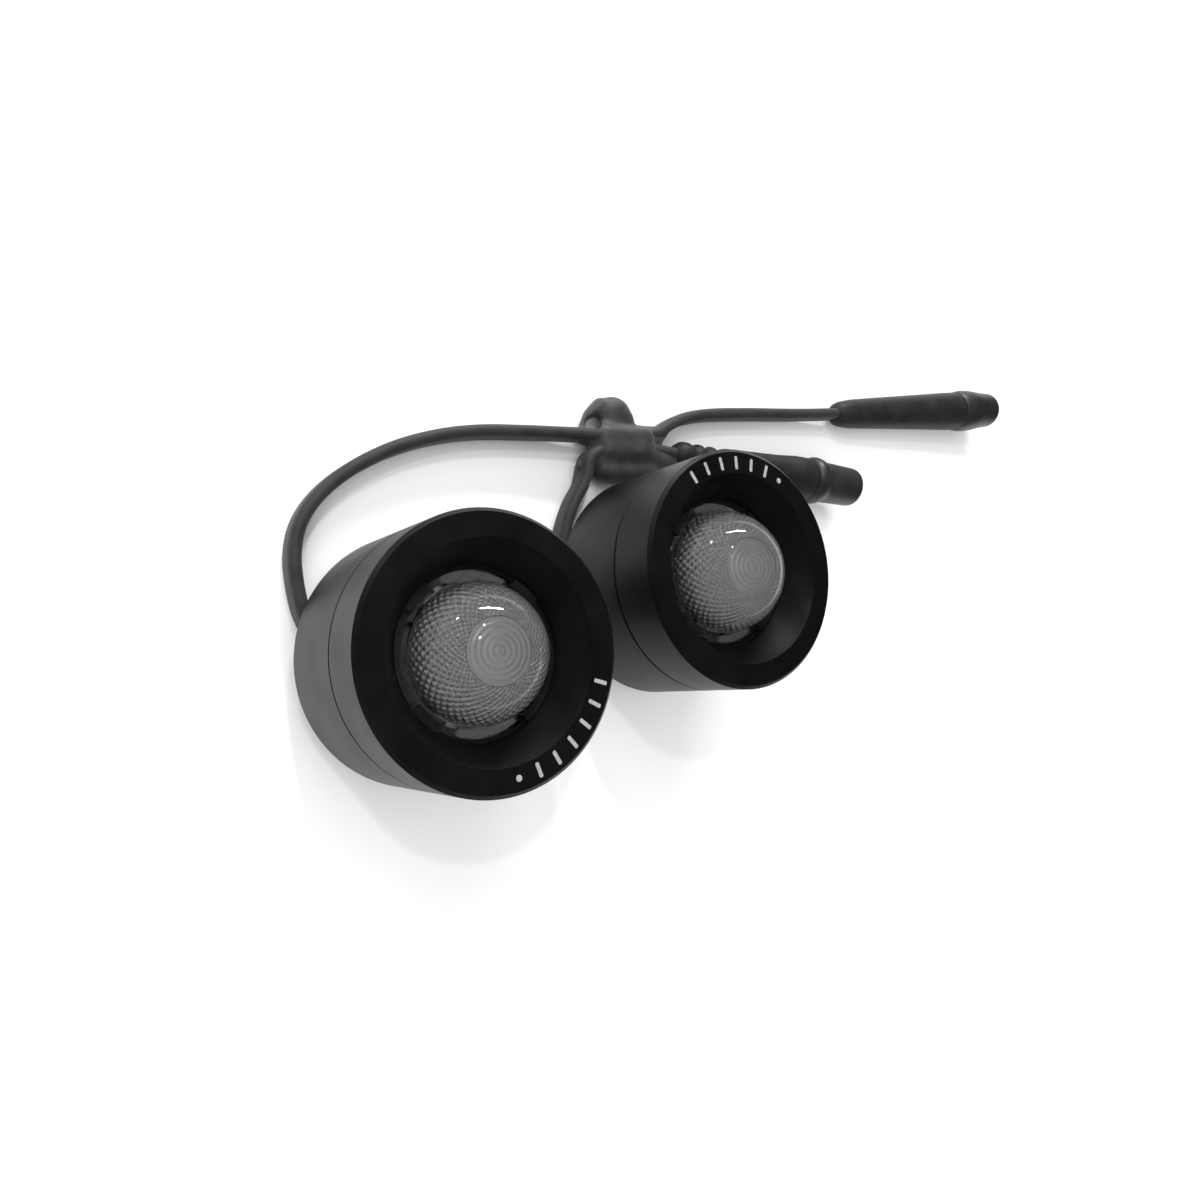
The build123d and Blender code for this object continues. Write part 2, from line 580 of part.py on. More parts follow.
def make_plug_shell(side):
    """Hard shell: tail inside the grip, raised collar and round nose, open at its end."""
    start = PLUGS[side]["grip"]
    nose_low = start + COLLAR_LENGTH
    nose_high = nose_low + NOSE_LENGTH
    edge = COLLAR_LENGTH * 0.22
    shell = turned([
        (0, start - TAIL_LENGTH),
        (TAIL_RADIUS, start - TAIL_LENGTH),
        (TAIL_RADIUS, start),
        (COLLAR_RADIUS - edge, start),
        (COLLAR_RADIUS, start + edge),
        (COLLAR_RADIUS, nose_low - edge),
        (COLLAR_RADIUS - edge, nose_low),
        (NOSE_RADIUS, nose_low),
        (NOSE_RADIUS, nose_high - NOSE_BREAK),
        (NOSE_RADIUS - NOSE_BREAK, nose_high),
        (0, nose_high),
    ])
    socket = cylinder(NOSE_RADIUS - NOSE_WALL, nose_high - INSERT_LENGTH - INSERT_SET_BACK, nose_high + OVERCUT)
    return plug_frame(side) * along_x(shell - socket)


def insert_span(side):
    """Where the insert starts and ends along its plug."""
    end = PLUGS[side]["grip"] + COLLAR_LENGTH + NOSE_LENGTH - INSERT_SET_BACK
    return end - INSERT_LENGTH, end


def make_plug_insert(side):
    """Round block inside the nose with a hole for each contact."""
    low, high = insert_span(side)
    block = cylinder(NOSE_RADIUS - NOSE_WALL - SLIP_CLEARANCE, low, high)
    for place in (-1, 1):
        block -= cylinder(CONTACT_RADIUS + SLIP_CLEARANCE, low + OVERCUT, high + OVERCUT,
                          (0, place * CONTACT_SPACING / 2))
    return plug_frame(side) * along_x(block)


def make_plug_contacts(side):
    """Two brass tubes in the insert."""
    low, high = insert_span(side)
    tubes = []
    for place in (-1, 1):
        centre = (0, place * CONTACT_SPACING / 2)
        tube = cylinder(CONTACT_RADIUS, low + OVERCUT, high, centre)
        tube -= cylinder(CONTACT_BORE_RADIUS, low + 2 * OVERCUT, high + OVERCUT, centre)
        tubes.append(plug_frame(side) * along_x(tube))
    return tubes


def tie_frame():
    """The tie's own frame: X along the leads, Y towards its loop, Z up from the surface."""
    return Pos(TIE_CENTRE[0], TIE_CENTRE[1], 0) * Rot(0, 0, TIE_HEADING)


def tie_outline():
    """Width and height of the tie's band."""
    width = 2 * LEAD_THICKNESS + 3 * LANE_CLEARANCE + 2 * TIE_WALL
    height = TIE_LEAD_Z + LEAD_WIDTH / 2 + SQUEEZE_CLEARANCE + TIE_WALL
    return width, height


def make_cable_tie():
    """Rubber band round both leads, a thicker head on one side, a looped tail on the other."""
    width, height = tie_outline()
    across = Plane(origin=(-TIE_LENGTH / 2, 0, height / 2), x_dir=(0, 1, 0), z_dir=(1, 0, 0))
    band = extrude(across * RectangleRounded(width, height, height * 0.35), TIE_LENGTH)
    head_y = -(width + TIE_HEAD_WIDTH) / 2 + TIE_WALL
    head = Pos(0, head_y, TIE_HEAD_HEIGHT / 2) * Box(TIE_HEAD_LENGTH, TIE_HEAD_WIDTH + TIE_WALL, TIE_HEAD_HEIGHT)
    head = fillet(head.edges(), TIE_WALL)
    loop = extrude(make_face(tie_loop_outline(width / 2)), TIE_LOOP_HEIGHT)
    eye = cylinder(TIE_EYE_RADIUS, -OVERCUT, TIE_LOOP_HEIGHT + OVERCUT, tie_eye_centre(width / 2))
    slot_height = LEAD_WIDTH + 2 * SQUEEZE_CLEARANCE
    slot_width = 2 * LEAD_THICKNESS + 3 * LANE_CLEARANCE
    slot = Pos(0, 0, TIE_LEAD_Z) * Box(2 * TIE_LENGTH, slot_width, slot_height)
    return tie_frame() * (band + head + loop - eye - slot)


def tie_eye_centre(edge):
    """The centre of the small eye in the looped tail."""
    return -TIE_LENGTH * 0.36, edge + TIE_EYE_RADIUS * 0.7


def tie_loop_outline(edge):
    """The looped tail seen from above: a rounded hump that starts and ends on the band."""
    left = -TIE_LENGTH * 0.62
    right = TIE_LENGTH * 0.42
    inner = edge - TIE_WALL / 2
    return Polyline((right, inner), (left, inner)) + Spline(
        (left, inner), (left * 0.78, edge + 3.0), (left * 0.15, edge + 6.4), (right * 0.6, edge + 5.4),
        (right, inner))


def boot_exit(side, distance):
    """A point in front of the end face of a lamp's boot."""
    sign = -1 if side == "left" else 1
    x, y = polar(BOOT_END_RADIUS + distance, EXIT_ANGLE)
    return Vector(sign * LAMP_SPACING / 2 + x, y, LEAD_Z)


def lead_points(side):
    """The whole route: boot's end, over the surface, through the tie, up to the plug."""
    lane = (LEAD_THICKNESS + LANE_CLEARANCE) / 2 * (1 if side == "left" else -1)
    entry = -TIE_LENGTH / 2 - TIE_ENTRY_RUN
    way_out = TIE_LENGTH / 2 + TIE_EXIT_RUN
    points = [boot_exit(side, 0), boot_exit(side, BOOT_RUN)]
    points += [Vector(x, y, LEAD_Z + rise) for x, y, rise in LEAD_ROUTES[side]]
    points += [(tie_frame() * Pos(x, lane, TIE_LEAD_Z)).position for x in (entry, way_out)]
    points += [Vector(x, y, LEAD_Z + rise) for x, y, rise in LEAD_TAILS[side]]
    points += [(plug_frame(side) * Pos(x, 0, 0)).position for x in (-PLUG_APPROACHES[side], 0)]
    return points


def corner_radii(points):
    """The largest arc each corner has room for: 0.45 of its shorter run over tan(half the turn)."""
    radii = []
    for before, corner, after in zip(points, points[1:], points[2:]):
        turn = radians((corner - before).get_angle(after - corner))
        run = min((corner - before).length, (after - corner).length)
        radii.append(0.45 * run / tan(turn / 2))
    return radii


def make_lead(side):
    """Flat lead: its oval section swept along straight runs and tangent arcs, on its edge."""
    points = lead_points(side)
    radii = corner_radii(points)
    path = FilletPolyline(*points, radius=radii)
    start = Plane(origin=points[0], x_dir=(path % 0).cross(Vector(0, 0, 1)), z_dir=path % 0)
    section = start * RectangleRounded(LEAD_THICKNESS, LEAD_WIDTH, LEAD_THICKNESS * 0.49)
    solid = sweep(section, path=path)
    print(side, "lead: length", round(path.length, 1), "radii", [round(r, 1) for r in radii])
    print(side, "lead: volume over section times length", round(solid.volume / (section.area * path.length), 4))
    return solid


def save(name, shapes):
    """Writes one node; a list of solids becomes one node of separate solids."""
    shape = Compound(children=shapes) if isinstance(shapes, list) else shapes
    export_step(shape, f"parts/{name}.step")


LAMP_PIECES = {
    "bezel": make_bezel,
    "housing": make_housing,
    "lens": make_lens,
    "lens_carrier": make_lens_carrier,
    "lens_gasket": make_lens_gasket,
    "lens_circlip": make_lens_circlip,
    "body_seal": make_body_seal,
    "led_board": make_led_board,
    "led_emitter": make_led_emitter,
    "thermal_pad": make_thermal_pad,
    "board_screws": make_board_screws,
    "led_pins": make_led_pins,
    "driver_board": make_driver_board,
    "driver_parts": make_driver_parts,
    "insulator": make_insulator,
    "input_leads": make_input_leads,
    "rear_cover": make_rear_cover,
    "rear_seal": make_rear_seal,
    "cover_screws": make_cover_screws,
    "lead_boot": make_lead_boot,
}
PLUG_PIECES = {
    "plug_grip": make_plug_grip,
    "plug_shell": make_plug_shell,
    "plug_insert": make_plug_insert,
    "plug_contacts": make_plug_contacts,
    "lead": make_lead,
}


def main():
    os.makedirs("parts", exist_ok=True)
    for name, make in LAMP_PIECES.items():
        piece = make()
        for side, sign in (("left", -1), ("right", 1)):
            place = Pos(sign * LAMP_SPACING / 2, 0, 0)
            moved = [place * solid for solid in piece] if isinstance(piece, list) else place * piece
            save(f"{name}_{side}", moved)
    for name, make in PLUG_PIECES.items():
        for side in ("left", "right"):
            save(f"{name}_{side}", make(side))
    save("cable_tie", make_cable_tie())


main()
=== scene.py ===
from math import acos, asin, cos, hypot, pi, radians, sin

import bpy
from mathutils import Matrix, Vector


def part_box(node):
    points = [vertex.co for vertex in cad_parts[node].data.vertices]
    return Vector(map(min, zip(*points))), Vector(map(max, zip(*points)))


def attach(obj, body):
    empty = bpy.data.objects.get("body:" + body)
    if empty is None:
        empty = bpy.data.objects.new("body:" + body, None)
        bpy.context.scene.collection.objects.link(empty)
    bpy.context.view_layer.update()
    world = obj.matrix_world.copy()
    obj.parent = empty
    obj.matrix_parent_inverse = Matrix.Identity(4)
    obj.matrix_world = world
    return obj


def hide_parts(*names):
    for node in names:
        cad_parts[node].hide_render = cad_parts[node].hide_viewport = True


# A pair of small round LED spot lamps that stand on their backs, with flat leads, a rubber tie
# and moulded plugs. Sizes are in metres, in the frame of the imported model, unless a comment
# says that they are in millimetres.

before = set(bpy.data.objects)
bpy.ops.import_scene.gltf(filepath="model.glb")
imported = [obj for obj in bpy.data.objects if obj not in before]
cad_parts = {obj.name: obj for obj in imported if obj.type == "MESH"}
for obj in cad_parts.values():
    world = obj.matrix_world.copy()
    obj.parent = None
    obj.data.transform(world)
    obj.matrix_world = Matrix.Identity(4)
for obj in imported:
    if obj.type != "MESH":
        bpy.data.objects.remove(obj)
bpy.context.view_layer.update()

SIDES = ("left", "right")
SIGNS = {"left": -1, "right": 1}
ROOT = "lamp_bodies"
MM = 0.001
UP = Vector((0, 0, 1))


def box_size(node):
    """The size of a node's box at rest."""
    low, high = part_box(node)
    return Vector(high) - Vector(low)


def box_centre(node):
    """The middle of a node's box at rest."""
    low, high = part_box(node)
    return (Vector(high) + Vector(low)) / 2


# Lamps: places and sizes read from the frame
HALF_SPACING = box_centre("housing_right").x
FACE_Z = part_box("bezel_right")[1][2]
LENS_TOP_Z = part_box("lens_right")[1][2]
LENS_LOW_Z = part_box("lens_right")[0][2]
FLANGE_RADIUS = box_size("lens_right").x / 2

# Clear lens: dome, flange, cone and the recess over the emitter
DOME_RADIUS = 10.9 * MM
DOME_CENTRE_Z = LENS_TOP_Z - DOME_RADIUS
DOME_ARC_STEPS = 28
FLANGE_TOP_Z = FACE_Z - 6.4 * MM
FLANGE_LOW_Z = FLANGE_TOP_Z - 1.6 * MM
FLANGE_STEP = 0.05 * MM
FLANGE_ROUND = 0.2 * MM
CONE_TOP_RADIUS = 10.4 * MM
CONE_FOOT_RADIUS = 6.2 * MM
RECESS_RADIUS = 3.4 * MM
RECESS_DEPTH = 3.0 * MM
LENS_STEPS = 96

# Patterned core inside the lens: cells round its side and rings in its middle
CORE_GAP = 0.35 * MM
CORE_RADIUS = CONE_TOP_RADIUS - CORE_GAP
CORE_FOOT_Z = FLANGE_TOP_Z - 0.6 * MM
CORE_HEIGHT = 7.6 * MM
CORE_WALL = 0.12 * MM
CELL_COUNT = 46
CELL_INSET = 0.15 * MM
CELL_DEPTH = 0.33 * MM
CORE_CENTRE_RADIUS = 4.6 * MM
RING_COUNT = 7
RING_RELIEF = 0.07 * MM
RING_ROUND = 6 * RING_RELIEF
RING_STEPS = 64

# Marks printed on the front rings; angles in degrees
MARK_MIDDLE_RADIUS = 18.5 * MM
MARK_LENGTH = 2.3 * MM
MARK_WIDTH = 0.62 * MM
MARK_ROUND = 0.3 * MARK_WIDTH
MARK_HEIGHT = 0.03 * MM
MARK_DOT_RADIUS = 0.5 * MM
MARK_DOT_ROUND = 0.3 * MARK_HEIGHT
MARK_COUNT = 6
MARK_START = {"left": -31, "right": 110}
MARK_STEP = -10.8

# Leads: the same as the solids'
LEAD_THICKNESS = 2.35 * MM
LEAD_WIDTH = 4.8 * MM
LEAD_Z = 2.45 * MM
LEAD_END_STEPS = 12
LEAD_LINE_STEPS = 10
BOOT_END_RADIUS = 13 * MM
BOOT_RUN = 4.2 * MM
EXIT_ANGLE = radians(150)

# Route of each lead: to the tie, and between the tie and its plug, with its rise above LEAD_Z
LEAD_ROUTES = {
    "left": [
        (-0.0413, 0.0124, 0),
        (-0.0410, 0.0172, 0),
        (-0.0401, 0.0222, 0),
        (-0.0376, 0.0271, 0),
        (-0.0327, 0.0312, 0),
        (-0.0252, 0.0344, 0),
        (-0.0154, 0.0365, 0),
        (-0.0032, 0.0366, 0),
        (0.0100, 0.0342, 0.00015),
    ],
    "right": [
        (0.0096, 0.0115, 0),
        (0.0110, 0.0152, 0.0001),
        (0.0145, 0.0198, 0.00035),
        (0.0183, 0.0229, 0.00055),
    ],
}
LEAD_TAILS = {
    "left": [
        (0.0437, 0.0310, 0.0005),
        (0.0520, 0.0314, 0.00015),
        (0.0640, 0.0299, 0),
        (0.0790, 0.0275, 0.0001),
    ],
    "right": [],
}

# Tie: its place, the stretch and height of the leads in it, and the eye through its strap
TIE_CENTRE = Vector((0.0295, 0.0287, 0))
TIE_HEADING = radians(-12)
TIE_REACH = (-8.4 * MM, 7.6 * MM)
TIE_LEAD_Z = 3.3 * MM
LANE_OFFSET = 1.3 * MM
TIE_GRAIN = 0.26 * MM
TIE_SMOOTHING = 26
EYE_RADIUS = 1.65 * MM
EYE_CENTRE = Vector((-6.0, 3.6, 3.0)) * MM
EYE_LEAN = radians(-37)
EYE_LENGTH = 20 * MM

# Masses of the tie in its own frame, in millimetres: low corner, high corner and edge radius of
# each block, then the middle and size of the hump
TIE_BLOCKS = [
    ((-6.4, -3.7, 0.3), (7.2, 3.4, 6.3), 1.9),
    ((-6.8, -7.6, 0.3), (8.4, -1.8, 5.2), 2.0),
    ((-4.2, 1.0, 0.3), (3.8, 7.2, 4.9), 2.0),
]
TIE_HUMP = ((-0.9, 6.4, 2.8), (8.2, 6.6, 5.0))

# Strap round the eye and the four webs at the leads, in millimetres: the points of each, the
# radius at each point, and how much taller than wide it is
TIE_WEBS = [
    ([(-8.6, 0.6, 2.4), (-8.0, 3.2, 2.2), (-6.2, 6.0, 2.2), (-3.6, 7.9, 2.3)], [1.1, 0.9, 1.1, 1.5], 1.5),
    ([(-4.5, 1.2, 3.1), (-10.4, 1.4, 2.9)], [3.2, 1.3], 0.9),
    ([(-4.5, -2.0, 3.0), (-9.8, -5.0, 2.9)], [3.0, 1.4], 0.9),
    ([(4.5, 0.9, 3.1), (8.2, 1.6, 3.1), (11.6, 3.4, 3.0)], [3.2, 2.5, 1.3], 0.9),
    ([(4.5, -1.8, 3.0), (8.2, -2.6, 3.1), (11.4, -3.0, 3.1)], [3.2, 2.9, 2.4], 0.9),
]

# Plugs: where each grip starts and heads, its length, and the lead's straight end before it
PLUG_START_Z = 3.35 * MM
PLUG_COLLAR_Z = 5.75 * MM
COLLAR_LENGTH = 3.6 * MM
NOSE_LENGTH = 10.3 * MM
NOSE_RADIUS = 4.4 * MM
NOSE_END_RADIUS = 4.0 * MM
NOSE_TAPER = 0.6 * MM
COLLAR_ROUND = 0.9 * MM
INSERT_SET_BACK = 0.8 * MM
INSERT_LENGTH = 8.0 * MM
INSERT_RADIUS = 3.7 * MM
INSERT_GAP = 0.02 * MM
PLUG_STEPS = 64
PLUGS = {
    "left": {"start": (0.0932, 0.0254), "heading": radians(-8.0), "grip": 0.044, "approach": 0.007},
    "right": {"start": (0.0415, 0.0244), "heading": radians(-19.4), "grip": 0.037, "approach": 0.003},
}

# Outlines in millimetres, as distance and radius: grip from the lead, and collar from the grip
GRIP_NECK = [(0, 1.75), (1.6, 2.9)]
GRIP_SIDES = {"left": [(6, 3.45), (14, 3.75), (30, 4.35)], "right": [(13, 3.3), (28, 4.2)]}
GRIP_ENDS = [(-4, 4.75), (-0.1, 4.8), (0, 4.3)]
GRIP_ROUNDS = {"left": 1.4 * MM, "right": 0.8 * MM}
FLEX_RING = [(0, 3.1), (1.1, 3.1), (1.6, 2.7), (2.6, 2.7)]
FLEX_RING_STARTS = {"left": [], "right": [2.6, 5.8, 9.0]}
COLLARS = {
    "left": [(0, 4.6), (0.8, 5.05), (2.6, 5.3), (5.4, 5.2), (9.6, 4.65)],
    "right": [(0, 4.4), (0.6, 5.0), (1.5, 5.35), (2.8, 5.15), (4.2, 4.6)],
}

# Mesh work
MERGE_REACH = 1e-7
EDGE_ANGLE = 35
TUBE_EDGE_ANGLE = 50
NO_EDGE_ANGLE = 180
ROUND_SIDES = 32
EYE_SIDES = 48

# Camera
CAMERA_PLACE = Vector((-0.08752, 0.01188, 0.15426))
CAMERA_FORWARD = Vector((0.55962, -0.06452, -0.82623))
CAMERA_UP = Vector((0.25288, 0.96271, 0.0961))
CAMERA_LENS = 28.319
SENSOR_WIDTH = 36
NEAREST = 0.005
FARTHEST = 10

# Lights: name, place, width, depth and power; the soft ones are kept out of the gloss
MIRRORED_LIGHTS = [
    ("strip_light", (0.36, 0.74, 0.34), 0.46, 0.035, 6.0),
    ("high_lamp", (-0.005, 0.28, 0.34), 0.014, 0.014, 0.35),
    ("far_lamp", (-0.21, 0.37, 0.75), 0.03, 0.03, 0.9),
    ("low_lamp", (-0.31, 0.81, 0.25), 0.10, 0.02, 0.6),
]
SOFT_LIGHTS = [
    ("soft_back", (-0.2, 1.0, 0.9), 0.9, 0.9, 5.5),
    ("soft_side", (-1.0, -0.6, 0.8), 0.9, 0.9, 5.0),
    ("soft_top", (-0.1, -0.3, 1.5), 2.2, 2.2, 9.0),
]
AIM = Vector((0.01, 0.01, 0.015))
SKY_STRENGTH = 0.8
FLOOR_SIZE = 6


# ---------------------------------------------------------------- working in the scene


def deselect():
    """Leaves nothing selected."""
    bpy.ops.object.select_all(action="DESELECT")


def pick(pieces):
    """Selects only these pieces, with the first one active."""
    deselect()
    for piece in pieces:
        piece.select_set(True)
    bpy.context.view_layer.objects.active = pieces[0]


def current(name):
    """The piece that was just added, under its name."""
    piece = bpy.context.object
    piece.name = name
    piece.data.name = name
    return piece


def settle(piece, place=Matrix.Identity(4)):
    """Puts a piece's place in its mesh, so that its object sits at the origin."""
    piece.data.transform(place @ piece.matrix_world)
    piece.matrix_world = Matrix.Identity(4)
    return piece


def copy_of(piece, name, place):
    """A copy of a piece with a mesh of its own, at a place."""
    copy = bpy.data.objects.new(name, piece.data.copy())
    copy.data.name = name
    bpy.context.collection.objects.link(copy)
    return settle(copy, place)


def apply_modifier(piece, kind, **settings):
    """Adds a modifier and applies it."""
    pick([piece])
    bpy.ops.object.modifier_add(type=kind)
    modifier = piece.modifiers[-1]
    for key, value in settings.items():
        setattr(modifier, key, value)
    bpy.ops.object.modifier_apply(modifier=modifier.name)


def join(pieces, name):
    """Joins pieces into the first one."""
    pick(pieces)
    bpy.ops.object.join()
    return current(name)


def smooth(piece, angle=EDGE_ANGLE):
    """Smooth shading with the edges above an angle kept sharp."""
    pick([piece])
    bpy.ops.object.shade_smooth_by_angle(angle=radians(angle))
    return piece


def dress(piece, material, body):
    """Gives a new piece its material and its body."""
    piece.data.materials.clear()
    piece.data.materials.append(material)
    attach(piece, body)


def lamp_place(side):
    """Where a lamp's axis stands."""
    return Matrix.Translation((SIGNS[side] * HALF_SPACING, 0, 0))


# ---------------------------------------------------------------- shapes


def softened(outline, reach, steps=5):
    """An outline with each inner corner rounded by a curve that starts reach away from it."""
    points = [Vector(point) for point in outline]
    soft = [points[0]]
    for before, corner, after in zip(points, points[1:], points[2:]):
        start = corner + (before - corner).normalized() * min(reach, (before - corner).length * 0.45)
        end = corner + (after - corner).normalized() * min(reach, (after - corner).length * 0.45)
        for step in range(steps + 1):
            t = step / steps
            soft.append(start * (1 - t) ** 2 + corner * 2 * t * (1 - t) + end * t**2)
    soft.append(points[-1])
    return [tuple(point) for point in soft]


def in_metres(outline, start=0):
    """Distance and radius points in millimetres as (radius, distance) points from a start."""
    return [(radius * MM, start + reach * MM) for reach, radius in outline]


def turned(name, outline, steps):
    """A piece turned about Z: one vertex, extruded along (radius, height) points, then spun."""
    deselect()
    bpy.ops.mesh.primitive_plane_add(size=MM, location=(0, 0, 0))
    piece = current(name)
    bpy.ops.object.mode_set(mode="EDIT")
    bpy.ops.mesh.select_mode(type="VERT")
    bpy.ops.mesh.select_all(action="SELECT")
    bpy.ops.mesh.merge(type="CENTER")
    bpy.ops.transform.translate(value=(outline[0][0], 0, outline[0][1]))
    for here, there in zip(outline, outline[1:]):
        step = (there[0] - here[0], 0, there[1] - here[1])
        bpy.ops.mesh.extrude_region_move(TRANSFORM_OT_translate={"value": step})
    bpy.ops.mesh.select_all(action="SELECT")
    bpy.ops.mesh.spin(steps=steps, angle=2 * pi, center=(0, 0, 0), axis=(0, 0, 1))
    bpy.ops.mesh.select_all(action="SELECT")
    bpy.ops.mesh.remove_doubles(threshold=MERGE_REACH)
    bpy.ops.mesh.normals_make_consistent(inside=False)
    bpy.ops.object.mode_set(mode="OBJECT")
    return piece


def select_edges(piece, wanted):
    """Selects the edges whose two vertex indices pass a test."""
    bpy.ops.object.mode_set(mode="EDIT")
    bpy.ops.mesh.select_mode(type="EDGE")
    bpy.ops.mesh.select_all(action="DESELECT")
    bpy.ops.object.mode_set(mode="OBJECT")
    for edge in piece.data.edges:
        edge.select = wanted(tuple(sorted(edge.vertices)))


def tapered_rod(start, end, start_radius, end_radius, height):
    """A round rod from one point to another, its section stretched upwards by height."""
    along = end - start
    deselect()
    bpy.ops.mesh.primitive_cone_add(vertices=ROUND_SIDES, radius1=start_radius, radius2=end_radius,
                                    depth=along.length)
    rod = current("rod")
    side = UP.cross(along.normalized()).normalized()
    turn = Matrix((side, along.normalized().cross(side), along.normalized())).transposed().to_4x4()
    stretch = Matrix.Diagonal((1, height, 1, 1))
    return settle(rod, Matrix.Translation((start + end) / 2) @ turn @ stretch)


def soft_block(low, high, edge):
    """A block between two corners, with rounded edges."""
    deselect()
    bpy.ops.mesh.primitive_cube_add(size=1)
    block = current("block")
    settle(block, Matrix.Translation((low + high) / 2) @ Matrix.Diagonal((*(high - low), 1)))
    bpy.ops.object.mode_set(mode="EDIT")
    bpy.ops.mesh.select_all(action="SELECT")
    bpy.ops.mesh.bevel(offset=edge, segments=4)
    bpy.ops.object.mode_set(mode="OBJECT")
    return block


def soft_ball(centre, size):
    """A ball squashed to a size."""
    deselect()
    bpy.ops.mesh.primitive_uv_sphere_add(segments=ROUND_SIDES, ring_count=ROUND_SIDES // 2, radius=0.5)
    ball = current("ball")
    return settle(ball, Matrix.Translation(centre) @ Matrix.Diagonal((*size, 1)))


def chain(points, radii, height):
    """Rods from point to point, with a ball at each."""
    pieces = []
    for point, radius in zip(points, radii):
        pieces.append(soft_ball(point, (2 * radius, 2 * radius, 2 * radius * height)))
    for start, end, near, far in zip(points, points[1:], radii, radii[1:]):
        pieces.append(tapered_rod(start, end, near, far, height))
    return pieces


# ---------------------------------------------------------------- materials


class Finish:
    """A material under way: its nodes, links and shader, and the steps that finishes share."""

    def __init__(self, name, **sockets):
        self.material = bpy.data.materials.new(name)
        self.material.use_nodes = True
        self.nodes = self.material.node_tree.nodes
        self.links = self.material.node_tree.links
        self.shader = self.nodes["Principled BSDF"]
        for key, value in sockets.items():
            socket = key.replace("_", " ").title().replace("Ior", "IOR")
            self.shader.inputs[socket].default_value = value
        self.place = self.nodes.new("ShaderNodeTexCoord").outputs["Object"]

    def noise(self, size, detail=4, stretch=(1, 1, 1)):
        """A noise whose blobs are about size across, stretched along the axes."""
        mapping = self.nodes.new("ShaderNodeMapping")
        mapping.inputs["Scale"].default_value = [1 / (size * part) for part in stretch]
        self.links.new(self.place, mapping.inputs["Vector"])
        noise = self.nodes.new("ShaderNodeTexNoise")
        noise.inputs["Scale"].default_value = 1
        noise.inputs["Detail"].default_value = detail
        self.links.new(mapping.outputs["Vector"], noise.inputs["Vector"])
        return noise.outputs["Fac"]

    def ramp(self, value, dark, light, low=0.35, high=0.65):
        """The colour, from dark to light along a value."""
        ramp = self.nodes.new("ShaderNodeValToRGB")
        ramp.color_ramp.elements[0].position = low
        ramp.color_ramp.elements[1].position = high
        for element, colour in zip(ramp.color_ramp.elements, (dark, light)):
            element.color = (*colour, 1)
        self.links.new(value, ramp.inputs["Fac"])
        self.links.new(ramp.outputs["Color"], self.shader.inputs["Base Color"])

    def spread(self, value, low, high):
        """The roughness, between two limits along a value."""
        spread = self.nodes.new("ShaderNodeMapRange")
        spread.inputs["From Min"].default_value = 0.3
        spread.inputs["From Max"].default_value = 0.7
        spread.inputs["To Min"].default_value = low
        spread.inputs["To Max"].default_value = high
        self.links.new(value, spread.inputs["Value"])
        self.links.new(spread.outputs["Result"], self.shader.inputs["Roughness"])

    def bump(self, value, depth, strength=0.5):
        """Relief from a value."""
        bump = self.nodes.new("ShaderNodeBump")
        bump.inputs["Distance"].default_value = depth
        bump.inputs["Strength"].default_value = strength
        self.links.new(value, bump.inputs["Height"])
        self.links.new(bump.outputs["Normal"], self.shader.inputs["Normal"])


def mottled(name, dark, light, roughness, grain, depth, patch=4 * MM, **sockets):
    """A finish with patches of colour and gloss, and a fine grain in the surface."""
    finish = Finish(name, **sockets)
    patches = finish.noise(patch)
    finish.ramp(patches, dark, light)
    finish.spread(patches, *roughness)
    finish.bump(finish.noise(grain, detail=2), depth)
    return finish.material


def brushed(name, dark, light, roughness):
    """Turned or drawn metal with fine lines round Z."""
    finish = Finish(name, metallic=1.0, anisotropic=0.3)
    lines = finish.noise(0.35 * MM, detail=3, stretch=(8, 8, 0.4))
    finish.ramp(lines, dark, light)
    finish.spread(lines, *roughness)
    finish.bump(lines, 0.01 * MM)
    return finish.material


def solder_mask(name, dark, light, roughness, track, coat):
    """Solder mask with copper tracks that show faintly through it."""
    finish = Finish(name, coat_weight=coat)
    tracks = finish.noise(track[0], detail=0, stretch=track[1])
    finish.ramp(tracks, dark, light, low=0.48, high=0.52)
    finish.spread(tracks, *roughness)
    finish.bump(tracks, 0.03 * MM)
    return finish.material


def black_anodised():
    """Bead-blasted, black anodised aluminium."""
    return mottled("black_anodised", dark=(0.0026, 0.0027, 0.0029), light=(0.0038, 0.0039, 0.0042),
                   roughness=(0.36, 0.43), grain=0.16 * MM, depth=0.02 * MM, patch=7 * MM,
                   specular_ior_level=0.2)


def carrier_plastic():
    """Matt black moulded plastic."""
    return mottled("carrier_plastic", dark=(0.004, 0.004, 0.0042), light=(0.007, 0.007, 0.0073),
                   roughness=(0.45, 0.55), grain=0.22 * MM, depth=0.02 * MM)


def cable_rubber():
    """Matt dark grey cable jacket, with a faint extruded grain."""
    return mottled("cable_rubber", dark=(0.022, 0.022, 0.023), light=(0.032, 0.032, 0.033),
                   roughness=(0.50, 0.62), grain=0.18 * MM, depth=0.03 * MM,
                   specular_ior_level=0.25, sheen_weight=0.04)


def tie_rubber():
    """Softer moulded rubber, a little lighter in random patches."""
    return mottled("tie_rubber", dark=(0.020, 0.020, 0.021), light=(0.034, 0.034, 0.035),
                   roughness=(0.48, 0.62), grain=0.25 * MM, depth=0.03 * MM, patch=3 * MM,
                   specular_ior_level=0.45, sheen_weight=0.12)


def grip_rubber():
    """The plugs' moulded grips."""
    return mottled("grip_rubber", dark=(0.012, 0.012, 0.0125), light=(0.019, 0.019, 0.0195),
                   roughness=(0.44, 0.54), grain=0.20 * MM, depth=0.025 * MM, specular_ior_level=0.2)


